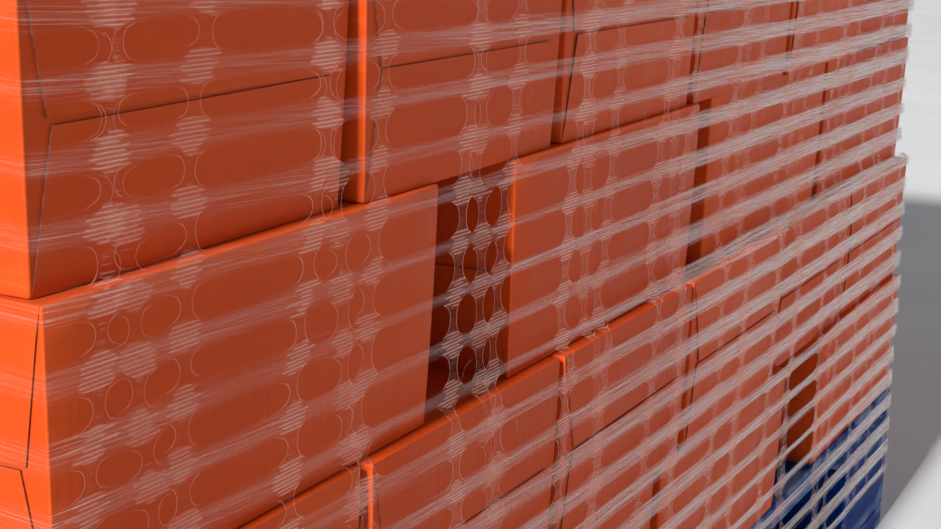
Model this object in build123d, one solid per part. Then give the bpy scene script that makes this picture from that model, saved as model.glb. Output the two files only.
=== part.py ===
from build123d import *
import os

# A loaded pallet: eight courses of glossy cartons on a blue four-way wooden block pallet,
# held by vented stretch film. Millimetres. X runs along the long side, Z is up, and the
# origin is on the floor under the middle of the pallet.

# Pallet, a standard four-way block pallet
pallet_length = 1200.0
pallet_width = 800.0
board_thickness = 22.0
block_height = 78.0
wide_board = 145.0
narrow_board = 100.0
skid_chamfer = 6.0

# Cartons: length lies along the flap ends' axis, width and height are the flap ends' sides
carton_length = 265.0
carton_width = 196.0
carton_height = 116.0
foot_inset = 2.5
flap_board = 1.6
flap_seam = 2.0
flap_corner_cut = 1.5
flap_slant = 14.0

# Courses: a carton rests on the course below with this much air, so that the two stay apart
course_clearance = 0.3
course_count = 8

# Gaps along a row of cartons from the near end on, one row of gaps for each odd course in turn.
# The last is up to the far edge. On another pallet they share out its spare room alike.
# Odd courses have four cartons in a row, with their flap ends facing along X.
four_row_gaps = (
    (21.0, 12.0, 104.0, 2.0),
    (78.0, 36.0, 10.0, 15.0),
    (24.0, 71.0, 17.0, 27.0),
    (12.0, 33.0, 66.0, 28.0),
)
# Even courses have six cartons in a row, with their flap ends facing along Y.
six_row_gaps = (
    (5.0, 4.0, 4.0, 4.0, 3.5, 3.0),
    (4.0, 4.0, 4.0, 4.0, 4.0, 3.0),
    (3.0, 2.0, 9.0, 3.0, 4.0, 2.5),
    (2.0, 7.0, 3.0, 3.0, 4.0, 4.5),
)
even_gaps = (1.0, 0.0)
least_gap = 1.0
edge_margin = 0.5

# How far each carton of the front row stands out from its line, or in from it if negative
four_row_steps = (
    (0.0, 4.0, 4.0, 2.0),
    (3.5, 4.0, -2.0, -3.0),
    (-2.0, 3.0, 1.0, 3.5),
    (1.0, -2.5, 3.0, 0.0),
)
six_row_steps = (
    (0.0, 3.0, 4.0, 4.0, -2.0, -3.0),
    (0.0, 5.0, 5.0, 4.5, 4.0, -3.0),
    (2.0, -1.5, 3.0, 4.0, 1.0, 0.0),
    (-1.0, 2.5, 1.0, -2.0, 3.0, 0.5),
)
widest_step = max(abs(step) for steps in four_row_steps + six_row_steps for step in steps)

# Vented stretch film, a thin sleeve round the load and the upper half of the pallet
film_thickness = 0.8
film_clearance = 0.4
film_foot = 54.0
film_lip = 60.0
vent_height = 13.0
vent_pitch = 27.0
vent_post = 26.0
vents_long_side = 2
vents_short_side = 2

deck_top = 3 * board_thickness + block_height
course_pitch = carton_height + course_clearance
load_top = deck_top + course_count * course_pitch


def block(x_size, y_size, z_size, x, y, z):
    """A sawn piece with its underside at height z."""
    return Pos(x, y, z) * Box(x_size, y_size, z_size, align=(Align.CENTER, Align.CENTER, Align.MIN))


def skid_board(width, y):
    """A bottom board along X, with the upper edges of its long sides chamfered for fork wheels."""
    board = block(pallet_length, width, board_thickness, 0, y, 0)
    upper = board.edges().filter_by(Axis.X).group_by(Axis.Z)[-1]
    return chamfer(upper, skid_chamfer)


def deck_boards():
    """Five top boards, wide and narrow in turn, spread evenly across the pallet."""
    widths = [wide_board, narrow_board, wide_board, narrow_board, wide_board]
    gap = (pallet_width - sum(widths)) / (len(widths) - 1)
    z = deck_top - board_thickness
    boards = []
    y = -pallet_width / 2
    for width in widths:
        boards.append(block(pallet_length, width, board_thickness, 0, y + width / 2, z))
        y += width + gap
    return boards


def block_columns():
    """X places of the three cross boards and of the blocks under them."""
    outer = (pallet_length - wide_board) / 2
    return [-outer, 0.0, outer]


def skid_rows():
    """Width and Y place of the three rows of blocks and of the bottom boards under them."""
    outer = (pallet_width - narrow_board) / 2
    return [(narrow_board, -outer), (wide_board, 0.0), (narrow_board, outer)]


def pallet_nodes():
    """Every board and block of the pallet by name."""
    nodes = {}
    for number, board in enumerate(deck_boards(), 1):
        nodes[f"deck_board_{number}"] = board
    for number, x in enumerate(block_columns(), 1):
        z = board_thickness + block_height
        nodes[f"cross_board_{number}"] = block(wide_board, pallet_width, board_thickness, x, 0, z)
    for row, (width, y) in enumerate(skid_rows(), 1):
        nodes[f"skid_board_{row}"] = skid_board(width, y)
        for column, x in enumerate(block_columns(), 1):
            nodes[f"pallet_block_{row}_{column}"] = block(
                wide_board, width, block_height, x, y, board_thickness
            )
    return nodes


def carton_body(end_inset):
    """A closed carton that leans out from its foot to its rim, its ends set in by end_inset."""
    foot = Rectangle(carton_length - 2 * (foot_inset + end_inset), carton_width - 2 * foot_inset)
    rim = Rectangle(carton_length - 2 * end_inset, carton_width)
    return loft([foot, Pos(0, 0, carton_height) * rim])


def flap_outlines():
    """The lower and upper outer flaps of an end: trapezoids that meet at mid height."""
    middle = carton_height / 2
    fold_half = carton_width / 2 - flap_corner_cut
    free_half = carton_width / 2 - flap_slant
    outlines = []
    for fold_z, free_z in ((0, middle - flap_seam / 2), (carton_height, middle + flap_seam / 2)):
        outlines.append([
            (-fold_half, fold_z), (fold_half, fold_z), (free_half, free_z), (-free_half, free_z)
        ])
    return outlines


def flap_bars():
    """Bars along the carton with the section of its outer flaps, longer than the carton."""
    bars = []
    for outline in flap_outlines():
        section = Plane.YZ * make_face(Polyline(*outline, close=True))
        bars.append(extrude(section, amount=carton_length, both=True))
    return bars


def flapped_carton():
    """A carton along X whose ends show the two outer flaps over the set-back inner ones."""
    outer = carton_body(0)
    body = carton_body(flap_board)
    for bar in flap_bars():
        body += outer & bar
    return body


def row_places(room, size, gaps):
    """Centres of as many cartons of this size as fit on the pallet's length or width, room."""
    space = room - 2 * edge_margin
    count = int((space + least_gap) // (size + least_gap))
    spare = space - count * size - (count - 1) * least_gap
    between, far = gaps[:-1], gaps[-1]
    weights = [between[number % len(between)] for number in range(count - 1)] + [far]
    places = []
    edge = edge_margin - room / 2
    for weight in weights:
        places.append(edge + size / 2)
        edge += size + least_gap + spare * weight / sum(weights)
    return places


def turned(gaps, row):
    """The same gaps in another order, so that the rows behind close the gaps in front."""
    between = gaps[:-1]
    first = row % len(between)
    return between[first:] + between[:first] + gaps[-1:]


def pattern(choices, course):
    """The entry for this course. Odd courses, and even ones, go through their own in turn."""
    return choices[(course - 1) // 2 % len(choices)]


def inner(number, count):
    """True if this row or column is neither the first nor the last."""
    return 0 < number < count - 1


def four_row_places(course):
    """Places of an odd course, whose cartons have their flap ends facing along X."""
    across = row_places(pallet_width, carton_width, even_gaps)
    steps = pattern(four_row_steps, course)
    places = []
    for row, y in enumerate(across):
        along = row_places(pallet_length, carton_length, turned(pattern(four_row_gaps, course), row))
        for column, x in enumerate(along):
            hidden = inner(row, len(across)) and inner(column, len(along))
            front = steps[column % len(steps)] if row == 0 else 0
            places.append((x, y - front, hidden and course != course_count))
    return places


def six_row_places(course):
    """Places of an even course, whose cartons have their flap ends facing along Y."""
    across = row_places(pallet_width, carton_length, even_gaps)
    along = row_places(pallet_length, carton_width, pattern(six_row_gaps, course))
    steps = pattern(six_row_steps, course)
    places = []
    for row, y in enumerate(across):
        for column, x in enumerate(along):
            hidden = inner(row, len(across)) and inner(column, len(along))
            places.append((x, y - steps[column % len(steps)], hidden and course != course_count))
    return places


def course_solids(course, plain, flapped):
    """All cartons of one course, with plain ends where other cartons hide them."""
    z = deck_top + course_clearance + (course - 1) * course_pitch
    if course % 2:
        places, turn = four_row_places(course), Rot(0, 0, 0)
    else:
        places, turn = six_row_places(course), Rot(0, 0, 90)
    cartons = []
    for x, y, hidden in places:
        cartons.append(Pos(x, y, z) * turn * (plain if hidden else flapped))
    return cartons


def vent_cutters(length, width):
    """Long low vents right through the sleeve, in rows up its sides."""
    cutters = []
    through = 2 * (length + width)
    long_vent = (length - (vents_long_side + 1) * vent_post) / vents_long_side
    short_vent = (width - (vents_short_side + 1) * vent_post) / vents_short_side
    rows = int((load_top - film_foot) / vent_pitch)
    for row in range(rows):
        z = film_foot + (row + 0.5) * vent_pitch - vent_height / 2
        for number in range(vents_long_side):
            x = (number - (vents_long_side - 1) / 2) * (long_vent + vent_post)
            cutters.append(block(long_vent, through, vent_height, x, 0, z))
        for number in range(vents_short_side):
            y = (number - (vents_short_side - 1) / 2) * (short_vent + vent_post)
            cutters.append(block(through, short_vent, vent_height, 0, y, z))
    return cutters


def film_sleeve():
    """The film: a sleeve open below, folded in over the rim of the top course."""
    length = pallet_length + 2 * film_clearance
    width = pallet_width + 2 * (widest_step - edge_margin + film_clearance)
    inside_top = load_top + film_clearance
    outside_top = inside_top + film_thickness
    skin = 2 * film_thickness
    sleeve = block(length + skin, width + skin, outside_top - film_foot, 0, 0, film_foot)
    sleeve -= block(length, width, inside_top - film_foot, 0, 0, film_foot)
    mouth = block(length - 2 * film_lip, width - 2 * film_lip, outside_top, 0, 0, film_foot)
    return sleeve - mouth - vent_cutters(length, width)


def main():
    os.makedirs("parts", exist_ok=True)
    nodes = pallet_nodes()
    plain, flapped = carton_body(0), flapped_carton()
    for course in range(1, course_count + 1):
        solids = course_solids(course, plain, flapped)
        nodes[f"carton_course_{course}"] = Compound(children=solids)
    nodes["stretch_film"] = film_sleeve()
    for name, shape in nodes.items():
        export_step(shape, f"parts/{name}.step")


main()
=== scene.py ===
import math

import bmesh
import bpy
import numpy as np
from mathutils import Matrix, Vector


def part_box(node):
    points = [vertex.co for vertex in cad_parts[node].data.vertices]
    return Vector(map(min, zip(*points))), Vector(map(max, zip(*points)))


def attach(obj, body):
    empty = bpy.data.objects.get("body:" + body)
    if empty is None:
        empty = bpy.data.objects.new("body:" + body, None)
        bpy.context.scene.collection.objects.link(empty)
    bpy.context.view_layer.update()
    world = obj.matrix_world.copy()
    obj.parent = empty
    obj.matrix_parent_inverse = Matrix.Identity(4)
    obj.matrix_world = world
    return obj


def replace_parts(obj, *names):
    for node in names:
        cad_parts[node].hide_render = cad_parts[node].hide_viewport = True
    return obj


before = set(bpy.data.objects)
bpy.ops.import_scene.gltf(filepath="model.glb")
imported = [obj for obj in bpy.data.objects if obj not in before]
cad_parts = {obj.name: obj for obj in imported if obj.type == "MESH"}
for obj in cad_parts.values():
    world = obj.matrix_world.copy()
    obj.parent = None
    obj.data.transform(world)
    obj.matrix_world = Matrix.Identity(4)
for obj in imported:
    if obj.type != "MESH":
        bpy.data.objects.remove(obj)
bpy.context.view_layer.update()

MM = 0.001

# Places read from the frame
COURSES = sorted(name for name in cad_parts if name.startswith("carton_course_"))
PALLET_NODES = sorted(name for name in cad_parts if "board" in name or "block" in name)
DECK_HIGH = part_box("deck_board_1")[1]
DECK_TOP = DECK_HIGH.z
LOAD_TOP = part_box(COURSES[-1])[1].z
FILM_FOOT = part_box("stretch_film")[0].z
PALLET_X = DECK_HIGH.x
PALLET_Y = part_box("cross_board_1")[1].y


# Shader helpers


class Tree:
    """A material's node tree with short calls to add and join nodes."""

    def __init__(self, name):
        self.material = bpy.data.materials.new(name)
        self.material.use_nodes = True
        self.nodes = self.material.node_tree.nodes
        self.links = self.material.node_tree.links
        self.nodes.clear()

    def add(self, kind, **values):
        node = self.nodes.new(kind)
        for key, value in values.items():
            setattr(node, key, value)
        return node

    def put(self, socket, value):
        """Join an output to a socket, or set the socket's own value."""
        if isinstance(value, bpy.types.NodeSocket):
            self.links.new(value, socket)
        else:
            socket.default_value = value

    def math(self, operation, a, b=0.0, c=0.0):
        node = self.add("ShaderNodeMath", operation=operation)
        for socket, value in zip(node.inputs, (a, b, c)):
            self.put(socket, value)
        return node.outputs[0]

    def product(self, first, *others):
        for other in others:
            first = self.math("MULTIPLY", first, other)
        return first

    def total(self, first, *others):
        for other in others:
            first = self.math("ADD", first, other)
        return first

    def attribute(self, name, output="Fac"):
        return self.add("ShaderNodeAttribute", attribute_name=name).outputs[output]

    def place(self, scale, vector=None, location=(0.0, 0.0, 0.0), rotation=(0.0, 0.0, 0.0)):
        """Object coordinates, or the given vector, scaled along each axis."""
        mapping = self.add("ShaderNodeMapping")
        if vector is None:
            vector = self.add("ShaderNodeTexCoord").outputs["Object"]
        self.links.new(vector, mapping.inputs["Vector"])
        mapping.inputs["Scale"].default_value = scale
        mapping.inputs["Location"].default_value = location
        mapping.inputs["Rotation"].default_value = rotation
        return mapping.outputs[0]

    def axis(self, vector, number):
        """One coordinate of a vector."""
        split = self.add("ShaderNodeSeparateXYZ")
        self.links.new(vector, split.inputs[0])
        return split.outputs[number]

    def noise(self, vector, detail=3.0, rough=0.55, distort=0.0, flat=False):
        node = self.add("ShaderNodeTexNoise", noise_dimensions="2D" if flat else "3D")
        self.links.new(vector, node.inputs["Vector"])
        for name, number in (
            ("Scale", 1.0), ("Detail", detail), ("Roughness", rough), ("Distortion", distort)
        ):
            node.inputs[name].default_value = number
        return node.outputs["Fac"]

    def ramp(self, value, low, high, to_low=0.0, to_high=1.0):
        """value mapped from low..high to to_low..to_high with a smooth step."""
        node = self.add("ShaderNodeMapRange", interpolation_type="SMOOTHSTEP")
        for name, number in (
            ("From Min", low), ("From Max", high), ("To Min", to_low), ("To Max", to_high)
        ):
            node.inputs[name].default_value = number
        self.put(node.inputs["Value"], value)
        return node.outputs[0]

    def mix(self, share, first, second):
        node = self.add("ShaderNodeMix", data_type="RGBA")
        self.put(node.inputs["Factor"], share)
        colours = [n for n in node.inputs if n.type == "RGBA"]
        for socket, value in zip(colours, (first, second)):
            self.put(socket, value)
        return [n for n in node.outputs if n.type == "RGBA"][0]

    def bump(self, height, distance, strength=1.0):
        node = self.add("ShaderNodeBump")
        node.inputs["Strength"].default_value = strength
        node.inputs["Distance"].default_value = distance
        self.put(node.inputs["Height"], height)
        return node.outputs[0]

    def finished(self, **values):
        """The material, with a principled surface that takes these values."""
        surface = self.add("ShaderNodeBsdfPrincipled")
        for name, value in values.items():
            self.put(surface.inputs[name.replace("_", " ")], value)
        out = self.add("ShaderNodeOutputMaterial")
        self.links.new(surface.outputs[0], out.inputs["Surface"])
        return self.material


def srgb(red, green, blue):
    """A colour as seen, 0 to 255, in the linear numbers that shaders take."""
    def channel(value):
        value /= 255
        return value / 12.92 if value <= 0.04045 else ((value + 0.055) / 1.055) ** 2.4
    return (channel(red), channel(green), channel(blue), 1.0)


# Materials

PRINT, PRINT_BRIGHT, PRINT_DEEP = srgb(204, 74, 24), srgb(214, 82, 30), srgb(192, 64, 20)
PRINT_MOTTLE, PRINT_SCRATCH = srgb(218, 92, 38), srgb(226, 104, 56)
# Lighter orange for the rubbed edges, which is also a painted highlight, and a brighter orange that is a
# painted highlight on the rounded folds.
PRINT_RUBBED_AND_PAINTED_HIGHLIGHT, PRINT_FOLD_PAINTED_HIGHLIGHT = srgb(232, 122, 72), srgb(250, 108, 46)
# Cut-edge colours, darker than the liner itself: painted shade of the gap beside each flap.
LINER_DARK_PAINTED_SHADE, LINER_PALE_PAINTED_SHADE = srgb(78, 28, 14), srgb(118, 52, 32)
PAINT_DARK, PAINT, PAINT_BRIGHT = srgb(2, 42, 108), srgb(4, 54, 130), srgb(12, 70, 148)
BARE_WOOD, KNOT = srgb(122, 142, 178), srgb(6, 24, 66)
# The second film colour is pink: painted warm light from the orange cartons on the film's whiter marks.
FILM_BAND, FILM_MARK_WITH_PAINTED_WARM_LIGHT = srgb(226, 214, 210), srgb(255, 186, 168)
FLOOR, FLOOR_PALE = srgb(220, 221, 223), srgb(226, 226, 227)
FILL_LIGHT, BACKDROP = srgb(232, 234, 240), srgb(240, 241, 243)


def board_material():
    """Glossy coated orange-red board with faint flutes, mottling and scratches. Its edges are lightened
    by rubbing, which also serves as a painted highlight, and its rounded edges and ends carry a brighter
    painted highlight.
    """
    t = Tree("coated_board")
    tone, wear = t.attribute("tone"), t.attribute("wear")
    broad = t.noise(t.place((7, 7, 7)), detail=2)
    mottle = t.noise(t.place((60, 60, 60)), detail=4)
    fine = t.noise(t.place((900, 900, 900)), detail=2)
    flutes = t.noise(t.place((190, 190, 9)), detail=2, rough=0.4)
    scuffs = t.noise(t.place((45, 45, 160)), detail=5, rough=0.7)
    scratches = t.noise(t.place((14, 14, 420), rotation=(0.3, 0.2, 0.4)), detail=3, rough=0.6)
    # Rubbing near the edges, which also lightens them as a painted highlight.
    rubbing_and_highlight = t.product(t.ramp(wear, 0.35, 1.0), t.ramp(scuffs, 0.5, 0.68))
    colour = t.mix(t.ramp(broad, 0.3, 0.7), PRINT, PRINT_BRIGHT)
    colour = t.mix(t.ramp(tone, 0.0, 1.0, 0.0, 0.5), colour, PRINT_DEEP)
    colour = t.mix(t.ramp(mottle, 0.45, 0.8, 0.0, 0.2), colour, PRINT_MOTTLE)
    colour = t.mix(t.product(rubbing_and_highlight, 0.2), colour, PRINT_RUBBED_AND_PAINTED_HIGHLIGHT)
    # Painted highlight on the rounded edges and ends, where light would catch them.
    colour = t.mix(t.ramp(wear, 0.92, 1.0, 0.0, 0.25), colour, PRINT_FOLD_PAINTED_HIGHLIGHT)
    colour = t.mix(t.product(t.ramp(scratches, 0.69, 0.76), 0.2), colour, PRINT_SCRATCH)
    rough = t.total(t.ramp(mottle, 0.3, 0.75, 0.36, 0.5), t.product(rubbing_and_highlight, 0.2))
    height = t.total(t.product(flutes, 0.6), t.product(fine, 0.12), t.product(broad, 2.0))
    normal = t.bump(height, 0.6 * MM, 0.6)
    return t.finished(Base_Color=colour, Roughness=rough, Normal=normal, Specular_IOR_Level=0.06)


def cut_edge_with_painted_shade_material():
    """The cut edge of a flap: fluted liner under the print, darkened as painted shade of the gap beside
    the flap.
    """
    t = Tree("board_cut_edge_painted_shade")
    flutes = t.noise(t.place((420, 420, 420)), detail=3)
    colour = t.mix(t.ramp(flutes, 0.35, 0.65), LINER_DARK_PAINTED_SHADE, LINER_PALE_PAINTED_SHADE)
    return t.finished(Base_Color=colour, Roughness=0.75, Normal=t.bump(flutes, 0.4 * MM, 0.8))


def paint_material():
    """Blue paint brushed on sawn softwood: grain, patches, knots and worn corners."""
    t = Tree("blue_painted_wood")
    along_grain, wear = t.attribute("grain_vector", "Vector"), t.attribute("wear")
    grain = t.noise(t.place((9, 150, 150), along_grain), detail=5, rough=0.6, distort=0.4)
    fibre = t.noise(t.place((40, 900, 900), along_grain), detail=3)
    patches = t.noise(t.place((16, 40, 40), along_grain), detail=4)
    knots = t.noise(t.place((7, 22, 22), along_grain), detail=1)
    bare = t.product(t.ramp(wear, 0.45, 1.0), t.ramp(patches, 0.44, 0.6))
    colour = t.mix(t.ramp(grain, 0.35, 0.7), PAINT_DARK, PAINT)
    colour = t.mix(t.ramp(patches, 0.5, 0.75, 0.0, 0.5), colour, PAINT_BRIGHT)
    colour = t.mix(t.product(bare, 0.8), colour, BARE_WOOD)
    colour = t.mix(t.ramp(knots, 0.68, 0.78, 0.0, 0.5), colour, KNOT)
    rough = t.ramp(patches, 0.3, 0.7, 0.42, 0.62)
    normal = t.bump(t.total(grain, t.product(fibre, 0.4)), 1.1 * MM, 0.8)
    return t.finished(Base_Color=colour, Roughness=rough, Normal=normal, Specular_IOR_Level=0.03)


SPOT_HALF_WIDTH = 8.4 * MM
SPOT_HALF_HEIGHT = 6.6 * MM
RIDGE_PITCH = 1.7 * MM
HAIR_TILT = 0.05
HAZE = 0.036            # of a full band, seen square on
SQUARE_PATH = 0.5       # the way light goes through the film, seen square on
GRAZING_PATH = 33.0     # and what a view along the film adds to it
END_HAZE = 0.35         # over the two ends of the load, as a share of the sides'
# The first and third numbers whiten the ridge crests: the unstretched film's haze with a painted glint on
# the crests.
RIDGE_HAZE_AND_PAINTED_GLINT, SPOT_WHITE, TAIL_WHITE, THREAD_WHITE = 0.44, 0.14, 0.05, 0.24
MOST_VEIL = 0.86


class FilmTree(Tree):
    """Clear stretched film: faint bands streaked along the pull, ridged spots that were never
    stretched, and bright rims at the ends of the vents. The ridges are whitened partly as a painted
    glint, and the marks are tinted pink as painted light from the orange cartons. The pull map holds
    metres along the film and across it. strength is how hazy this wrap is beside the haziest one."""

    def __init__(self, name, seed, strength):
        super().__init__(name)
        self.strength = strength
        self.pull = self.add("ShaderNodeUVMap", uv_map="pull").outputs[0]
        self.shift = (seed * 3.7, seed * 1.9, 0.0)
        self.rim, self.away = self.attribute("rim"), self.attribute("away")
        self.band, self.deep = self.attribute("band"), self.attribute("deep")
        tilted = self.place((1, 1, 1), self.pull, rotation=(0.0, 0.0, HAIR_TILT))
        self.hairs = self.streaked((9, 1500, 1), 1, 0.7, tilted)
        self.streaks = self.streaked((5, 520, 1), 2, 0.7)
        self.cloud = self.streaked((3, 12, 1), 1)
        facing = self.add("ShaderNodeLayerWeight")
        facing.inputs["Blend"].default_value = 0.5
        self.grazing = facing.outputs["Facing"]
        from_middle = self.math("ABSOLUTE", self.axis(self.place((1, 1, 1)), 0))
        self.clouded = self.ramp(from_middle, PALLET_X - 3 * MM, PALLET_X, 1.0, END_HAZE)

    def streaked(self, scale, detail, rough=0.55, vector=None):
        """Noise drawn out along the film."""
        vector = self.place(scale, vector or self.pull, self.shift)
        return self.noise(vector, detail=detail, rough=rough, flat=True)

    def ridges(self):
        """The wave of the ridges that run along the film, and how white each ridge is: the film's haze
        with a painted glint on the crests.
        """
        bent = self.product(self.streaked((30, 60, 1), 0), 2.0)
        phase = self.math("MULTIPLY_ADD", self.axis(self.pull, 1), math.tau / RIDGE_PITCH, bent)
        wave = self.math("SINE", phase)
        return wave, self.math("POWER", self.math("MULTIPLY_ADD", wave, 0.5, 0.5), 2.5)

    def spots(self):
        """1 in the round ragged spots between the vents that were never stretched."""
        ragged = self.ramp(self.streaked((4, 520, 1), 0), 0.35, 0.7, -1.5 * MM, 2.5 * MM)
        past = self.math("DIVIDE", self.math("SUBTRACT", self.away, ragged), SPOT_HALF_WIDTH)
        along = self.math("MAXIMUM", past, 0.0)
        across = self.math("DIVIDE", self.band, SPOT_HALF_HEIGHT)
        reach = self.total(self.math("POWER", along, 2.6), self.math("POWER", across, 2.6))
        return self.ramp(reach, 0.75, 1.15, 1.0, 0.0)

    def bands(self):
        """Haze between the rows of vents, whiter where light goes a long way through it."""
        broad = self.ramp(self.streaked((3, 150, 1), 0), 0.35, 0.7, 0.02, 0.34)
        streaks = self.ramp(self.streaks, 0.45, 0.61, 0.0, 1.5)
        haze = self.total(self.ramp(self.hairs, 0.42, 0.64), streaks, broad)
        crisp = self.product(self.deep, self.ramp(self.grazing, 0.3, 0.62, 1.0, 5.0))
        haze = self.product(haze, self.ramp(self.cloud, 0.3, 0.7, 0.75, 1.15),
                            self.ramp(crisp, 0.0, 6 * MM, 0.08, 1.0),
                            self.ramp(self.away, 5 * MM, 13 * MM, 0.35, 1.0),
                            self.clouded, HAZE * self.strength)
        steep = self.math("POWER", self.ramp(self.grazing, 0.0, 1.0), 5.0)
        path = self.math("MULTIPLY_ADD", steep, GRAZING_PATH, SQUARE_PATH)
        clear = self.math("POWER", self.math("SUBTRACT", 1.0, haze), path)
        return self.math("SUBTRACT", 1.0, clear)

    def threads(self):
        """Single white threads in some of the bands."""
        return self.product(self.ramp(self.hairs, 0.57, 0.7), self.ramp(self.deep, 1 * MM, 4 * MM),
                            self.ramp(self.cloud, 0.42, 0.62, 0.2, 1.0), self.clouded)

    def near_spots(self, near, far, thick, thin):
        """1 close to the unstretched spots, down to 0 far along the film or across it."""
        return self.product(self.ramp(self.away, near, far, 1.0, 0.0),
                            self.ramp(self.band, thick, thin, 1.0, 0.0))

    def film(self):
        wave, ridges = self.ridges()
        # Ridge crests whitened: haze with a painted glint.
        whiteness = self.math("MULTIPLY_ADD", ridges, RIDGE_HAZE_AND_PAINTED_GLINT, SPOT_WHITE)
        rims = self.product(self.math("POWER", self.rim, 1.2),
                            self.ramp(self.grazing, 0.3, 0.55, 0.45, 0.9))
        unstretched = self.total(self.product(whiteness, self.spots()), rims)
        tails = self.product(ridges, self.near_spots(8 * MM, 40 * MM, 4 * MM, 7 * MM))
        marks = self.math("MULTIPLY_ADD", tails, TAIL_WHITE, unstretched)
        marks = self.math("MULTIPLY_ADD", self.threads(), THREAD_WHITE, marks)
        marks = self.product(marks, 0.5 + 0.4 * self.strength)
        veil = self.math("MINIMUM", self.total(self.bands(), marks), MOST_VEIL)
        ribs = self.product(self.near_spots(5 * MM, 10 * MM, 3 * MM, 7 * MM), 0.5, wave)
        height = self.math("MULTIPLY_ADD", self.streaks, 1.3, ribs)
        # The marks take the pink colour: painted warm light from the orange cartons.
        colour = self.mix(self.ramp(unstretched, 0.0, 0.12), FILM_BAND, FILM_MARK_WITH_PAINTED_WARM_LIGHT)
        normal = self.bump(height, 0.4 * MM)
        return self.finished(Base_Color=colour, Roughness=0.3, Normal=normal, Alpha=veil)


# Mesh helpers


def grid_quads(rows, columns, closed):
    """The quads between rows of points, as point numbers, joined round if closed."""
    last = columns if closed else columns - 1
    row, column = np.meshgrid(np.arange(rows - 1), np.arange(last), indexing="ij")
    after = (column + 1) % columns
    return np.stack([
        row * columns + column, row * columns + after,
        (row + 1) * columns + after, (row + 1) * columns + column,
    ], -1).reshape(-1, 4)


class Builder:
    """Collects points, faces, face materials and per-point values for one mesh."""

    def __init__(self):
        self.points, self.faces, self.slots = [], [], []
        self.values = {}
        self.count = 0

    def quads(self, points, quads, slot=0, **values):
        """Points, quads between them, and numbers or vectors for every point."""
        self.points.append(np.asarray(points, float))
        self.faces.append(np.asarray(quads) + self.count)
        self.slots.append(np.full(len(quads), slot))
        for name, value in values.items():
            self.values.setdefault(name, []).append(np.reshape(value, (len(points), -1)))
        self.count += len(points)

    def grid(self, points, closed=False, slot=0, flip=False, **values):
        """A grid of points, rows by columns by 3, with its columns joined round if closed."""
        shape = points.shape[:2]
        quads = grid_quads(*shape, closed)
        full = {
            name: value if np.ndim(value) == 3 else np.broadcast_to(value, shape)
            for name, value in values.items()
        }
        self.quads(points.reshape(-1, 3), quads[:, ::-1] if flip else quads, slot, **full)

    def piece(self, name, materials, slot_name):
        mesh = bpy.data.meshes.new(name)
        faces = np.concatenate(self.faces)
        mesh.from_pydata(np.concatenate(self.points).tolist(), [], faces.tolist())
        mesh.polygons.foreach_set("material_index", np.concatenate(self.slots).astype(np.int32))
        mesh.polygons.foreach_set("use_smooth", np.ones(len(faces), bool))
        for material in materials:
            mesh.materials.append(material)
        for key, parts in self.values.items():
            full = np.concatenate(parts).astype(np.float32)
            kind, field = ("FLOAT", "value") if full.shape[1] == 1 else ("FLOAT_VECTOR", "vector")
            mesh.attributes.new(key, kind, "POINT").data.foreach_set(field, full.ravel())
        mesh.validate()
        piece = bpy.data.objects.new(name, mesh)
        bpy.context.scene.collection.objects.link(piece)
        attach(piece, "root")
        return piece


def pulled_in(ring, middle, pull):
    """A ring of points drawn in by pull, on both axes, towards its middle."""
    return ring - np.sign(ring - middle) * np.minimum(pull, np.abs(ring - middle))


CORNER_STEPS = 3


def rounded_section(width, height, radius, wide_steps, high_steps):
    """Points round a rounded rectangle in the (v, w) plane, w from 0 to height, anticlockwise
    from the lower right, with each point's distance from the nearest corner."""
    half = width / 2
    corners = [(half - radius, radius, -90), (half - radius, height - radius, 0),
               (-half + radius, height - radius, 90), (-half + radius, radius, 180)]

    def on_arc(v, w, angle):
        turn = math.radians(angle)
        return np.array([v + radius * math.cos(turn), w + radius * math.sin(turn)])

    points = []
    for number, (v, w, angle) in enumerate(corners):
        for step in range(CORNER_STEPS + 1):
            points.append((*on_arc(v, w, angle + 90 * step / CORNER_STEPS), 0.0))
        start, end = on_arc(v, w, angle + 90), on_arc(*corners[(number + 1) % 4])
        steps = wide_steps if number % 2 else high_steps
        for step in range(1, steps):
            share = step / steps
            away = min(share, 1 - share) * np.linalg.norm(end - start)
            points.append((*(start + (end - start) * share), away))
    return np.array(points)


def joined_verts(start):
    """Every vert that edges join to this one, itself first."""
    members, known = [start], {start.index}
    for vert in members:
        for edge in vert.link_edges:
            other = edge.other_vert(vert)
            if other.index not in known:
                known.add(other.index)
                members.append(other)
    return members


def solid_boxes(node):
    """The lowest and highest corner of every separate solid in a CAD node, by rows from the
    front."""
    work = bmesh.new()
    work.from_mesh(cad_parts[node].data)
    bmesh.ops.remove_doubles(work, verts=work.verts, dist=1e-5)
    seen, boxes = set(), []
    for start in work.verts:
        if start.index not in seen:
            members = joined_verts(start)
            seen.update(vert.index for vert in members)
            places = np.array([vert.co[:] for vert in members])
            boxes.append((places.min(0), places.max(0)))
    work.free()
    return sorted(boxes, key=lambda pair: (round(pair[0][1], 3), pair[0][0]))


# Cartons

BOARD = 0.8 * MM
EDGE_RADIUS = 0.9 * MM
FOOT_INSET = 4.3 * MM
TAPER_POWER = 1.4
FLAP_SLANT = 14.0 * MM
FLAP_CORNER = 0.8 * MM
FLAP_SEAM = 1.6 * MM
FLAP_BACK = 0.05 * MM
FOLD_WIDTH = 2.5 * MM
FLAP_ROWS, FLAP_COLUMNS = 8, 15
PUSHED_COURSE = "carton_course_2"
PUSH = 4.5 * MM
FRONT_ROW = 20 * MM
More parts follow.
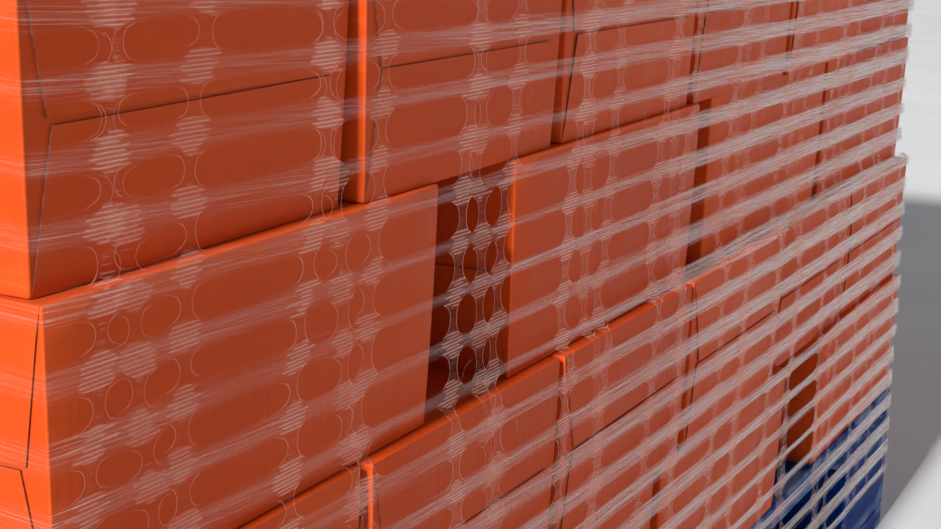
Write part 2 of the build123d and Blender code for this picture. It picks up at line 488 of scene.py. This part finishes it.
# How far the wear reaches in from a carton's edges, its ends and a flap's free edges. The same reach
# places the painted edge highlight.
EDGE_WEAR_AND_HIGHLIGHT, END_WEAR_AND_HIGHLIGHT, FLAP_WEAR_AND_HIGHLIGHT = 9 * MM, 12 * MM, 7 * MM
HIDDEN_DEPTH = 100 * MM     # a carton further in than this from all four sides doesn't show


def carton_boxes(node):
    """solid_boxes, with the front row of the pushed course drawn out over the course below."""
    boxes = solid_boxes(node)
    if node == PUSHED_COURSE:
        for corners in boxes:
            if corners[0][1] < -PALLET_Y + FRONT_ROW:
                for corner in corners:
                    corner[1] -= PUSH
    return boxes


class Carton:
    """One carton inside its CAD box. u runs along it, v across and w up, from the middle of
    its foot. A carton that doesn't show is drawn with few points and no outer flaps."""

    def __init__(self, build, low, high, seed, shows):
        self.rng = np.random.default_rng(seed)
        self.build, self.shows = build, shows
        size = high - low
        self.along_x = size[0] > size[1]
        self.length, self.width = size[:2] if self.along_x else size[1::-1]
        self.height = size[2]
        self.half = self.length / 2 - BOARD
        self.foot = np.array([*((low + high) / 2)[:2], low[2]])
        self.tone = self.rng.uniform(0, 1)
        self.bow = self.rng.uniform(0.4, 1.3) * MM
        self.turn = np.radians(self.rng.uniform(-0.08, 0.08))
        self.add_body()
        self.add_end_walls()
        if shows:
            for end in (-1, 1):
                self.add_flap(end, False)
                self.add_flap(end, True)

    def placed(self, points):
        """Tapered towards the foot, bowed, turned a little and set in its place."""
        u, v, w = np.moveaxis(points, -1, 0)
        rise = w / self.height
        drop = FOOT_INSET * (1 - rise) ** TAPER_POWER
        swell = self.bow * np.sin(np.pi * np.clip(rise, 0, 1))
        along, across = 2 * u / self.length, 2 * v / self.width
        v = v - np.clip(across, -1, 1) * (drop - swell * np.clip(1 - along ** 2, 0, 1))
        u = u - np.clip(along, -1, 1) * (drop - swell * np.clip(1 - across ** 2, 0, 1) * 0.6)
        x, y = (u, v) if self.along_x else (-v, u)
        cos, sin = math.cos(self.turn), math.sin(self.turn)
        return np.stack([x * cos - y * sin, x * sin + y * cos, w], -1) + self.foot

    def add(self, points, **values):
        self.build.grid(self.placed(points), tone=self.tone, **values)

    def add_body(self):
        """The four walls, rounded over at both ends."""
        steps = (8, 7) if self.shows else (2, 2)
        section = rounded_section(self.width, self.height, EDGE_RADIUS, *steps)
        outline, middle = section[:, :2], np.array([0.0, self.height / 2])
        over = [(self.half - EDGE_RADIUS * (1 - math.cos(angle)), EDGE_RADIUS * (1 - math.sin(angle)))
                for angle in (0.0, math.pi / 6, math.pi / 3)]
        straight = self.half - EDGE_RADIUS
        rings = [(-u, pull) for u, pull in over]
        rings += [(u, 0.0) for u in np.linspace(-straight, straight, 11 if self.shows else 3)]
        rings += over[::-1]
        # Wear, and painted highlight, strongest on the rounded edges and ends.
        edge_wear_and_highlight = np.clip(1 - section[:, 2] / EDGE_WEAR_AND_HIGHLIGHT, 0, 1)
        body, wears = [], []
        for u, pull in rings:
            body.append(np.column_stack([np.full(len(outline), u), pulled_in(outline, middle, pull)]))
            near_end = 1.0 if pull else np.clip(1 - (self.half - abs(u)) / END_WEAR_AND_HIGHLIGHT, 0, 1)
            wears.append(np.maximum(edge_wear_and_highlight, near_end))
        self.add(np.array(body), wear=np.array(wears), closed=True, flip=True)

    def add_end_walls(self):
        """The set-back inner flaps, which close the two ends."""
        rows, columns = (8, 9) if self.shows else (2, 2)
        side = self.width / 2 - EDGE_RADIUS
        v, w = np.meshgrid(np.linspace(-side, side, columns),
                           np.linspace(EDGE_RADIUS, self.height - EDGE_RADIUS, rows))
        for end in (-1, 1):
            wall = np.stack([np.full_like(v, end * self.half), v, w], -1)
            self.add(wall, wear=0.0, flip=end < 0)

    def add_flap(self, end, upper):
        """An outer flap: a thin bowed plate that lifts a little towards the seam, with the cut
        edge of the board round its three free sides."""
        lift = self.rng.uniform(0.0, 0.6) * MM
        lean = self.rng.uniform(-0.8, 0.8) * MM
        slant = FLAP_SLANT * self.rng.uniform(0.65, 1.05)
        rise = np.linspace(0, 1, FLAP_ROWS)[:, None] ** 0.85
        side = np.linspace(-1, 1, FLAP_COLUMNS)[None, :]
        fold_half, free_half = self.width / 2 - FLAP_CORNER, self.width / 2 - slant
        half_width = fold_half + (free_half - fold_half) * rise
        w = rise * (self.height / 2 - FLAP_SEAM / 2 + lean * side)
        w = self.height - w if upper else w
        fold = np.clip(rise * (self.height / 2) / FOLD_WIDTH, 0, 1)
        curl = 0.55 + 0.27 * side ** 2 * np.sign(lean)
        out = BOARD * (1 - (1 - fold) ** 2 * 0.9) + lift * rise ** 1.6 * curl
        front = np.stack([end * (self.half + out), side * half_width, w], -1)
        # Wear, and painted highlight, towards the flap's free edges and its seam.
        side_wear_and_highlight = np.clip(1 - (1 - np.abs(side)) * half_width / FLAP_WEAR_AND_HIGHLIGHT, 0, 1)
        seam_wear_and_highlight = np.clip((rise - 0.86) / 0.14, 0, 1)
        facing = (end > 0) == upper
        self.add(front, wear=0.8 * np.maximum(side_wear_and_highlight, seam_wear_and_highlight), flip=facing)
        top = np.concatenate([front[:, 0], front[-1, 1:], front[-2::-1, -1]])
        base = top.copy()
        base[:, 0] = end * (self.half + FLAP_BACK)
        # The cut edge round the flap, in the edge material darkened with painted shade.
        self.add(np.array([top, base]), wear=0.5, slot=1, flip=facing)


def make_cartons():
    board, edge = board_material(), cut_edge_with_painted_shade_material()
    reach = np.array([PALLET_X, PALLET_Y]) - HIDDEN_DEPTH
    for number, node in enumerate(COURSES):
        build = Builder()
        for index, (low, high) in enumerate(carton_boxes(node)):
            hidden = (low[:2] > -reach).all() and (high[:2] < reach).all()
            Carton(build, low, high, 100 * number + index, not hidden or node == COURSES[-1])
        name = node.replace("carton_course", "cartons_of_course")
        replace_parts(build.piece(name, [board, edge], "carton_board"), node)


# Pallet

ARRIS = 2.2 * MM
# Rings near a board's end: how far each is from the end, and how far it is drawn in
END_RINGS = ((0.0, 1.6 * MM), (0.3 * MM, 0.7 * MM), (1.0 * MM, 0.2 * MM))
RING_SPACING = 30 * MM
CAP_SHARES = np.array([1.0, 0.66, 0.33, 0.02])[:, None, None]
UNEVENNESS = 0.35 * MM
DENT = 0.8 * MM
BOARD_EDGE_WEAR, BOARD_END_WEAR = 10 * MM, 8 * MM


def board_rings(length):
    """Where the rings of a board stand along it, and how far each is drawn in."""
    count = max(6, int(length / RING_SPACING))
    plain = [(place, 0.0) for place in np.linspace(ARRIS, length - ARRIS, count)]
    return [*END_RINGS, *plain, *((length - place, pull) for place, pull in END_RINGS[::-1])]


def add_board(build, low, high, seed):
    """A sawn board or block with soft, slightly uneven arrises. Its grain runs along its
    longest side."""
    phase = np.random.default_rng(seed).uniform(0, 6.28, 4)
    size = high - low
    axis = int(np.argmax(size))
    across, up = (n for n in range(3) if n != axis)
    section = rounded_section(size[across], size[up], ARRIS, 6, 3)
    outline, from_edge = section[:, :2], section[:, 2]
    middle = np.array([0.0, size[up] / 2])
    rows, wears, grains = [], [], []
    for place, pull in board_rings(size[axis]):
        ring = pulled_in(outline, middle, pull)
        # Slow waves along the board draw its sides in unevenly and bite dents into its arrises
        ripple = np.sin(place * 31 + phase[0] + 9 * outline[:, 0]) * np.sin(place * 77 + phase[1])
        bite = np.sin(place * 47 + phase[2]) * np.sin(place * 17 + phase[3]) - 0.55
        dent = np.where(from_edge < 1e-6, DENT * np.maximum(0, bite), 0)
        ring = ring - np.sign(ring - middle) * (UNEVENNESS * (1 + ripple) + dent)[:, None] * 0.5
        spot = np.zeros((len(ring), 3))
        spot[:, axis] = low[axis] + place
        spot[:, across] = (low[across] + high[across]) / 2 + ring[:, 0]
        spot[:, up] = low[up] + ring[:, 1]
        rows.append(spot)
        near_end = max(0.0, 1 - min(place, size[axis] - place) / BOARD_END_WEAR)
        wears.append(np.maximum(np.clip(1 - from_edge / BOARD_EDGE_WEAR, 0, 1), near_end))
        grains.append(np.column_stack([np.full(len(ring), place + seed), ring]))
    flip = axis != 1
    rows, grains = np.array(rows), np.array(grains)
    build.grid(rows, closed=True, flip=flip, wear=np.array(wears), grain_vector=grains)
    # End grain: rings towards the middle of each end
    for end in (0, -1):
        centre = rows[end].mean(0)
        cap = centre + (rows[end] - centre) * CAP_SHARES
        grain = grains[end] * np.concatenate([np.ones_like(CAP_SHARES), CAP_SHARES, CAP_SHARES], 2)
        build.grid(cap, closed=True, flip=(end == 0) == flip, wear=0.45, grain_vector=grain)


def make_pallet():
    paint = paint_material()
    for number, node in enumerate(PALLET_NODES):
        build = Builder()
        add_board(build, *(np.array(corner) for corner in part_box(node)), number + 1)
        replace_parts(build.piece(f"painted_{node}", [paint], "painted_wood"), node)


# Stretch film: the shape of the load that it lies on

SIDE_LENGTHS = np.array([2 * PALLET_X, 2 * PALLET_Y, 2 * PALLET_X, 2 * PALLET_Y])
CORNERS = np.concatenate([[0], np.cumsum(SIDE_LENGTHS)])
PERIMETER = CORNERS[-1]
HEIGHT_STEP = 2.0 * MM
HEIGHTS = np.arange(0.0, LOAD_TOP + HEIGHT_STEP, HEIGHT_STEP)
SHARES = np.linspace(0, 1, 241)
OUTER_ROW = 100 * MM
OVERLAP = 4 * MM
SMOOTH_STEPS = 30
SMOOTH_WIDTH = 9.0


def outer_line(starts, ends, stands, places):
    """How far out a string pulled tight along a side stands at each place. Each carton runs
    from its start to its end along the side, and stands out by its own amount."""
    points = sorted([*zip(starts, stands), *zip(ends, stands)])
    line = []
    for point in points:
        while len(line) > 1:
            (x0, y0), (x1, y1) = line[-2:]
            if (x1 - x0) * (point[1] - y0) < (y1 - y0) * (point[0] - x0):
                break
            line.pop()
        line.append(point)
    return np.interp(places, *zip(*line))


def course_edges(low, high):
    """Seen from the front, right, back and left in turn: where each carton of a course starts
    and ends along the side, and how far it stands out past the pallet."""
    return (
        (low[:, 0] + PALLET_X, high[:, 0] + PALLET_X, -PALLET_Y - low[:, 1]),
        (low[:, 1] + PALLET_Y, high[:, 1] + PALLET_Y, high[:, 0] - PALLET_X),
        (PALLET_X - high[:, 0], PALLET_X - low[:, 0], high[:, 1] - PALLET_Y),
        (PALLET_Y - high[:, 1], PALLET_Y - low[:, 1], -PALLET_X - low[:, 0]),
    )


def smoothed(levels):
    """Each column of numbers smoothed up and down."""
    steps = np.arange(-SMOOTH_STEPS, SMOOTH_STEPS + 1)
    kernel = np.exp(-0.5 * (steps / SMOOTH_WIDTH) ** 2)
    kernel /= kernel.sum()
    padded = np.pad(levels, ((SMOOTH_STEPS, SMOOTH_STEPS), (0, 0)), mode="edge")
    return np.column_stack([np.convolve(column, kernel, "valid") for column in padded.T])


def side_reach():
    """For the front, right, back and left: how far past the pallet's side the tight film stands
    at each height and share of the side, kept outside every carton."""
    reach = np.zeros((4, len(HEIGHTS), len(SHARES)))
    solid = np.full_like(reach, -1.0)
    for node in COURSES:
        boxes = carton_boxes(node)
        low, high = np.array([b[0] for b in boxes]), np.array([b[1] for b in boxes])
        foot, rim = low[0, 2], high[0, 2]
        levels = (HEIGHTS >= foot - HEIGHT_STEP) & (HEIGHTS <= rim + HEIGHT_STEP)
        rise = np.clip((HEIGHTS[levels] - foot) / (rim - foot), 0, 1)
        taper = FOOT_INSET * (1 - rise[:, None]) ** TAPER_POWER
        for side, (starts, ends, stands) in enumerate(course_edges(low, high)):
            outer = stands > stands.max() - OUTER_ROW
            places = SHARES * SIDE_LENGTHS[side]
            line = outer_line(starts[outer], ends[outer], stands[outer], places)
            reach[side, levels] = line - 0.5 * taper
            for start, end, stand in zip(starts[outer], ends[outer], stands[outer]):
                covers = (places > start - OVERLAP) & (places < end + OVERLAP)
                block = np.ix_(levels, covers)
                solid[side][block] = np.maximum(solid[side][block], stand - taper)
    solid[:, HEIGHTS <= DECK_TOP] = 0.0
    return np.maximum(np.array([smoothed(levels) for levels in reach]), solid)


REACH = side_reach()


def film_reach(side, z, share):
    """REACH looked up between its grid points."""
    row = np.clip(z / HEIGHT_STEP, 0, len(HEIGHTS) - 1.001)
    column = np.clip(share, 0, 1) * (len(SHARES) - 1.001)
    r, c = row.astype(int), column.astype(int)
    fr, fc = row - r, column - c
    return ((1 - fr) * ((1 - fc) * REACH[side, r, c] + fc * REACH[side, r, c + 1])
            + fr * ((1 - fc) * REACH[side, r + 1, c] + fc * REACH[side, r + 1, c + 1]))


def film_place(s, z, gap):
    """Where a point of the film is: s metres along it from the near left corner, z up, and gap
    out from the load. Above the load's top it folds in over the top course."""
    over = np.clip(z - LOAD_TOP - gap, 0, None)
    level = np.minimum(z, LOAD_TOP + gap)
    s = np.mod(s, PERIMETER)
    side = np.clip(np.searchsorted(CORNERS, s + 1e-9, side="right") - 1, 0, 3)
    share = (s - CORNERS[side]) / SIDE_LENGTHS[side]

    def stands(number, at):
        return film_reach(number, level, at) + gap - over

    near, far = np.zeros_like(s), np.ones_like(s)
    x = np.choose(side, [
        -PALLET_X - stands(3, far) + share * (2 * PALLET_X + stands(1, near) + stands(3, far)),
        PALLET_X + stands(side, share),
        PALLET_X + stands(1, far) - share * (2 * PALLET_X + stands(1, far) + stands(3, near)),
        -PALLET_X - stands(side, share),
    ])
    y = np.choose(side, [
        -PALLET_Y - stands(side, share),
        -PALLET_Y - stands(0, far) + share * (2 * PALLET_Y + stands(0, far) + stands(2, near)),
        PALLET_Y + stands(side, share),
        PALLET_Y + stands(2, far) - share * (2 * PALLET_Y + stands(0, near) + stands(2, far)),
    ])
    return np.stack([x, y, level], -1)


# Stretch film: its vents and creases, and the wraps

VENT_PITCH = 24.5 * MM
LINE_PITCH = 0.5 * VENT_PITCH
VENT_HALF_HEIGHT = 6.25 * MM
VENT_END = 8.2 * MM
VENT_TIP = 2.4 * MM
TALLEST_VENT = 0.43 * VENT_PITCH
COLUMN_COUNT = 31
COLUMN_PITCH = PERIMETER / COLUMN_COUNT
NECK_HALF = 3.3 * MM
STEADY_HEIGHT = 0.535
SWAY_LINES = 11.0
RIM_WIDTH = 0.65 * MM
LIP = 34.0 * MM
FOOT_WRAP_TOP = 0.8
PATCH_PLACE, PATCH_HEIGHT, PATCH_RISE = 0.28, 0.48, 0.5
TALLEST_PLACE = 0.3
BRIGHT_RIM, RIM_FADE = 12.5 * MM, 4 * MM
FILM_WAVE = 0.22 * MM
RIM_STAND = 0.06 * MM
CREASE_COUNT = 90
CREASE_POINTS = 13
MERGE = 0.02 * MM
# Where the points of a vent's edge stand, as shares of its length and of its height
ALONG = np.array([0, 0.05, 0.105, 0.18, 0.34, 0.66, 0.82, 0.895, 0.95, 1])
ACROSS = np.array([0.25, 0.5, 0.75])


def neck_knots(rng, start, low, rows, drop, lean):
    """Where the necks between the vents stand, as (s, t) points by lines half a row apart from
    the low edge up. Their columns lean and stray to both sides, less so near STEADY_HEIGHT. The
    last column is the first one, a turn on."""
    lines = np.arange(2 * rows + 1)
    from_steady = (low - STEADY_HEIGHT) / LINE_PITCH + lines[:, None]
    steady = int(np.argmin(np.abs(from_steady)))
    sway = lean * SWAY_LINES * np.sin(from_steady / SWAY_LINES)
    stray = np.cumsum(rng.normal(0, 1.2 * MM, (len(lines), COLUMN_COUNT)), 0)
    stray += rng.normal(0, 1.0 * MM, stray.shape) - stray[steady]
    s = start + COLUMN_PITCH * np.arange(COLUMN_COUNT) + sway + stray
    t = low + LINE_PITCH * lines[:, None] + rng.normal(0, 0.8 * MM, s.shape)
    t[[0, -1]] = low + LINE_PITCH * lines[[0, -1], None]
    # The far end of each line is the near end of the line that many rows below, a turn on
    meets = lines - 2 * drop
    meets = np.where((meets >= 0) & (meets < len(lines)), meets, lines)
    s = np.column_stack([s, s[meets, 0] + PERIMETER])
    t = np.column_stack([t, t[meets, 0] + (lines - meets) * LINE_PITCH])
    return np.stack([s, t], -1)


def cell_outline(left, right):
    """The lines halfway from each vent to its neighbours, clockwise from the upper left. left
    and right are the upper, middle and lower knots beside it."""
    f, g = ALONG[:, None], 2 * ACROSS[:, None]

    def down(top, middle, low):
        return np.where(g < 1, top + (middle - top) * g, middle + (low - middle) * (g - 1))

    upper = left[0] + (right[0] - left[0]) * f
    lower = left[2] + (right[2] - left[2]) * f
    return np.concatenate([upper, down(*right), lower[:, :, ::-1], down(*left)[:, :, ::-1]], 2)


def pulled_height(s, t):
    """How much taller than usual the vents stand: most in patches where the film was pulled
    harder, four of them round the load, and least towards its near right and far left corners."""
    patches = (np.cos((s - PATCH_PLACE) * 4 * math.tau / PERIMETER)
               * np.cos((t - PATCH_HEIGHT) * math.tau / PATCH_RISE))
    tapering = 0.98 + 0.13 * np.cos((s - TALLEST_PLACE) * 2 * math.tau / PERIMETER)
    return tapering * (1 + 0.6 * np.clip(patches, 0, 1))


def vent_outline(rng, left, right):
    """The edge of each vent between the knots left and right of it, point by point as in
    cell_outline, and the height of its middle."""
    shape = left.shape[:3]
    necks = NECK_HALF * rng.uniform(0.7, 1.4, shape + (2,))
    ends = VENT_END * rng.uniform(0.75, 1.45, shape + (2,))
    half = VENT_HALF_HEIGHT * rng.uniform(0.86, 1.1, shape)
    half = np.minimum(half * pulled_height(left[..., 0], left[..., 1]), TALLEST_VENT)
    middle = 0.5 * (left[..., 1] + right[..., 1]) + rng.normal(0, 0.4 * MM, shape)
    s0, s1 = left[..., 0] + necks[..., 0], right[..., 0] - necks[..., 1]
    left_end, right_end = ends[..., 0], ends[..., 1]

    def tip(end):
        """Angles round a rounded end, from its upper side to its lower."""
        return np.arccos(1 - VENT_TIP / end) * (1 - 2 * ACROSS)

    span = s0 + VENT_TIP + (s1 - s0 - 2 * VENT_TIP) * ALONG
    near = np.minimum((span - s0) / left_end, (s1 - span) / right_end)
    rise = half * np.sqrt(1 - (1 - np.clip(near, 0, 1)) ** 2)
    ring_s = np.concatenate([span, s1 - right_end * (1 - np.cos(tip(right_end))),
                             span[..., ::-1], s0 + left_end * (1 - np.cos(tip(left_end)))], 2)
    ring_t = np.concatenate([middle + rise, middle + half * np.sin(tip(right_end)),
                             (middle - rise)[..., ::-1], middle - half * np.sin(tip(left_end))], 2)
    return np.stack([ring_s, ring_t], -1), middle


def vented_sheet(rng, start, low, rows, drop, lean):
    """The flat film as loops of (s, t) points, one cell for each vent: the vent's edge, a thin
    rim round it, and the lines halfway to its neighbours. drop is how many rows the film falls
    in a turn, so that a row's end meets the start of the row that many below."""
    knots = neck_knots(rng, start, low, rows, drop, lean)

    def beside(column):
        return [knots[line: line + 2 * rows - 1: 2, column: column + COLUMN_COUNT, None]
                for line in (2, 1, 0)]

    left, right = beside(0), beside(1)
    outer = cell_outline(left, right)
    ring, middle = vent_outline(rng, left[1], right[1])
    away = np.linalg.norm(outer - ring, axis=-1, keepdims=True)
    rim = ring + (outer - ring) * np.minimum(RIM_WIDTH / away, 0.45)
    loops = np.stack([ring, rim, outer], 2)
    to_column = np.minimum(*(np.abs(loops[..., 0] - side[1][:, :, None, :, 0])
                             for side in (left, right)))
    from_middle = np.abs(loops[..., 1] - middle[:, :, None])
    bright = np.clip((BRIGHT_RIM - to_column) / RIM_FADE, 0.04, 1)
    values = {
        "rim": bright * np.array([1.0, 0.0, 0.0])[:, None],
        "away": to_column,
        "band": np.clip(LINE_PITCH - from_middle, 0, None),
        "deep": np.linalg.norm(loops - ring[:, :, None], axis=-1),
    }
    count = loops.shape[3]
    cells = np.arange(rows * COLUMN_COUNT)[:, None, None] * 3 * count
    quads = (cells + grid_quads(3, count, True)).reshape(-1, 4)
    return loops.reshape(-1, 2), quads, values


def crease(place, angle, length, width, curl):
    """A narrow fold of film about a (s, z) place: a bright bowed strip, pointed at both ends."""
    along = np.linspace(-0.5, 0.5, CREASE_POINTS)
    bulge = np.cos(along * math.pi)
    half = 0.5 * width * np.sqrt(np.clip(bulge, 0.0, 1.0)) + 0.1 * MM
    across = (curl * length * bulge)[:, None] + half[:, None] * np.array([-1.0, 0.0, 1.0])
    strip = np.stack(np.broadcast_arrays((along * length)[:, None], across), -1)
    cos, sin = math.cos(angle), math.sin(angle)
    return strip @ np.array([[cos, sin], [-sin, cos]]) + place


def add_creases(build, rng, low, high):
    """Folds scattered over the film, where it was caught or handled."""
    for _ in range(CREASE_COUNT):
        place = np.array([rng.uniform(0, PERIMETER), rng.uniform(low, high)])
        strip = crease(place, rng.uniform(0.3, 2.6), rng.uniform(6, 20) * MM,
                       rng.uniform(0.4, 1.4) * MM, rng.uniform(-0.2, 0.2))
        build.grid(np.dstack([strip, strip[..., 1]]), rim=np.array([0.5, 0.1, 0.35]),
                   away=30 * MM, band=10 * MM, deep=0.0)


def cut_at_folds(work, gap):
    """Cut the flat film where it turns round a corner or in over the top course."""
    folds = [((0, LOAD_TOP + gap, 0), (0, 1, 0))]
    folds += [((corner + turn, 0, 0), (1, 0, 0)) for corner in CORNERS[:-1] for turn in (0, PERIMETER)]
    for place, normal in folds:
        everything = work.verts[:] + work.edges[:] + work.faces[:]
        bmesh.ops.bisect_plane(work, geom=everything, dist=1e-7, plane_co=place, plane_no=normal)


def wind(work, seed, gap):
    """Move the flat film's points round the load, with a faint wave in and out."""
    s, z, t = np.array([vert.co[:] for vert in work.verts]).T
    rim = work.verts.layers.float["rim"]
    edge = np.array([vert[rim] for vert in work.verts])
    wave = FILM_WAVE * (1 + np.sin(s * 61 + t * 23 + seed) * np.sin(t * 140 - s * 9))
    placed = film_place(s, z, gap + wave + RIM_STAND * edge)
    for vert, place in zip(work.verts, placed):
        vert.co = place


def film_wrap(name, strength, number, start, low, high, gap, lean, drop=2):
    """One wrap of vented film round the load. start is where its first column of necks stands,
    low and high its edges there, and drop how many rows it falls in one turn. Until it is wound,
    x runs along it, y is its height and z its place across the film."""
    seed = 10 + number
    rng = np.random.default_rng(seed)
    rows = int(round((high - low) / VENT_PITCH))
    flat, quads, values = vented_sheet(rng, start, low, rows, drop, lean)
    s, t = flat.T
    build = Builder()
    build.quads(np.column_stack([s, t - drop * VENT_PITCH / PERIMETER * (s - start), t]), quads, **values)
    add_creases(build, rng, FILM_FOOT + VENT_PITCH, min(high, LOAD_TOP) - VENT_PITCH)
    material = FilmTree(name.replace("_wrap", ""), number, strength).film()
    piece = build.piece(name, [material], "stretch_film")
    piece.visible_shadow = piece.visible_diffuse = False
    work = bmesh.new()
    work.from_mesh(piece.data)
    bmesh.ops.remove_doubles(work, verts=work.verts, dist=MERGE)
    cut_at_folds(work, gap)
    pull = work.loops.layers.uv.new("pull")
    for face in work.faces:
        face.smooth = True
        for loop in face.loops:
            loop[pull].uv = (loop.vert.co.x, loop.vert.co.z)
    wind(work, seed, gap)
    bmesh.ops.remove_doubles(work, verts=work.verts, dist=MERGE)
    work.to_mesh(piece.data)
    work.free()
    return piece


def make_film():
    # Where the three wraps' columns of necks stand, from a neck near the front's far end on
    far_neck = CORNERS[1] // COLUMN_PITCH * COLUMN_PITCH
    first, second, third = far_neck + 34 * MM, far_neck + 82 * MM, far_neck + 46 * MM
    lowest = FILM_FOOT + 2 * VENT_PITCH + 4.5 * MM
    top = LOAD_TOP + LIP + 2 * VENT_PITCH
    wraps = [
        film_wrap("film_wrap_inner", 1.0, 1, first, lowest, top, 0.5 * MM, 2.2 * MM),
        film_wrap("film_wrap_outer", 0.6, 2, second, lowest + 0.8 * MM, top, 1.1 * MM, 1.4 * MM),
        film_wrap("film_wrap_foot", 0.4, 3, third, lowest - 0.8 * MM, FOOT_WRAP_TOP, 1.7 * MM, -0.8 * MM),
    ]
    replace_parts(wraps[0], "stretch_film")


# Stage, light and camera

FOCAL_PIXELS = 1650.0
PHOTO_WIDTH = 941.0
SENSOR_WIDTH = 36.0
CAMERA_FROM_CORNER = Vector((-0.3912, -0.3685, 0.4846))
CAMERA_YAW, CAMERA_PITCH, CAMERA_ROLL = 62.036, 13.008, 0.789
FLOOR_REACH = 60.0
FILL_STRENGTH = 0.262
SUN_AHEAD = Vector((0.866, 0.005, -0.5))
SUN_STRENGTH, SUN_BLUR, SUN_COLOUR = 4.6, math.radians(3.0), (1.0, 1.0, 0.97)
LAMP_PLACE, LAMP_TARGET = Vector((4.5, -3.0, 1.6)), Vector((0.3, -0.4, 0.4))
LAMP_SIZE, LAMP_POWER, LAMP_COLOUR = 2.4, 26.0, (1.0, 0.98, 0.96)


def add_object(name, data):
    """An object in the scene that is no part of the load."""
    thing = bpy.data.objects.new(name, data)
    bpy.context.scene.collection.objects.link(thing)
    return thing


def make_camera():
    """The camera of the photograph, placed from the near lower corner of the cartons."""
    data = bpy.data.cameras.new("photo_view")
    data.sensor_width = SENSOR_WIDTH
    data.lens = FOCAL_PIXELS / PHOTO_WIDTH * data.sensor_width
    data.clip_start, data.clip_end = 0.02, 200.0
    yaw, pitch, roll = (math.radians(a) for a in (CAMERA_YAW, CAMERA_PITCH, CAMERA_ROLL))
    ahead = Vector((math.sin(yaw) * math.cos(pitch), math.cos(yaw) * math.cos(pitch), -math.sin(pitch)))
    right = Vector((math.cos(yaw), -math.sin(yaw), 0.0))
    up = right.cross(ahead)
    right, up = (right * math.cos(roll) + up * math.sin(roll),
                 up * math.cos(roll) - right * math.sin(roll))
    turn = Matrix((right, up, -ahead)).transposed().to_4x4()
    corner = Vector((-PALLET_X, -PALLET_Y, DECK_TOP))
    camera = add_object("photo_view", data)
    camera.matrix_world = Matrix.Translation(corner + CAMERA_FROM_CORNER) @ turn
    bpy.context.scene.camera = camera


def make_floor():
    t = Tree("studio_floor")
    grain = t.noise(t.place((3, 3, 3)), detail=2)
    colour = t.mix(t.ramp(grain, 0.3, 0.7), FLOOR, FLOOR_PALE)
    mesh = bpy.data.meshes.new("floor")
    corners = [(x * FLOOR_REACH, y * FLOOR_REACH, 0) for x, y in ((-1, -1), (1, -1), (1, 1), (-1, 1))]
    mesh.from_pydata(corners, [], [(0, 1, 2, 3)])
    mesh.materials.append(t.finished(Base_Color=colour, Roughness=0.7))
    add_object("floor", mesh)


def make_world():
    """Soft light from all round, and a pale backdrop where the camera sees past the floor."""
    world = bpy.data.worlds.new("studio")
    bpy.context.scene.world = world
    world.use_nodes = True
    nodes, links = world.node_tree.nodes, world.node_tree.links
    nodes.clear()
    path = nodes.new("ShaderNodeLightPath")
    seen = nodes.new("ShaderNodeMath")
    seen.operation = "MAXIMUM"
    links.new(path.outputs["Is Camera Ray"], seen.inputs[0])
    links.new(path.outputs["Is Transmission Ray"], seen.inputs[1])
    blend, out = nodes.new("ShaderNodeMixShader"), nodes.new("ShaderNodeOutputWorld")
    links.new(seen.outputs[0], blend.inputs[0])
    for socket, colour, strength in ((1, FILL_LIGHT, FILL_STRENGTH), (2, BACKDROP, 1.0)):
        background = nodes.new("ShaderNodeBackground")
        background.inputs["Color"].default_value = colour
        background.inputs["Strength"].default_value = strength
        links.new(background.outputs[0], blend.inputs[socket])
    links.new(blend.outputs[0], out.inputs["Surface"])


def make_lights():
    """A blurred sun on the load's left end, and a soft lamp to the right of the front."""
    sun = bpy.data.lights.new("sun", "SUN")
    sun.energy, sun.angle, sun.color = SUN_STRENGTH, SUN_BLUR, SUN_COLOUR
    add_object("sun", sun).rotation_euler = SUN_AHEAD.to_track_quat("-Z", "Y").to_euler()
    lamp = bpy.data.lights.new("right_fill", "AREA")
    lamp.size, lamp.energy, lamp.color = LAMP_SIZE, LAMP_POWER, LAMP_COLOUR
    placed = add_object("right_fill", lamp)
    placed.location = LAMP_PLACE
    placed.rotation_euler = (LAMP_TARGET - LAMP_PLACE).to_track_quat("-Z", "Y").to_euler()


make_pallet()
make_cartons()
make_film()
make_camera()
make_floor()
make_world()
make_lights()
bpy.context.scene.view_settings.view_transform = "Standard"
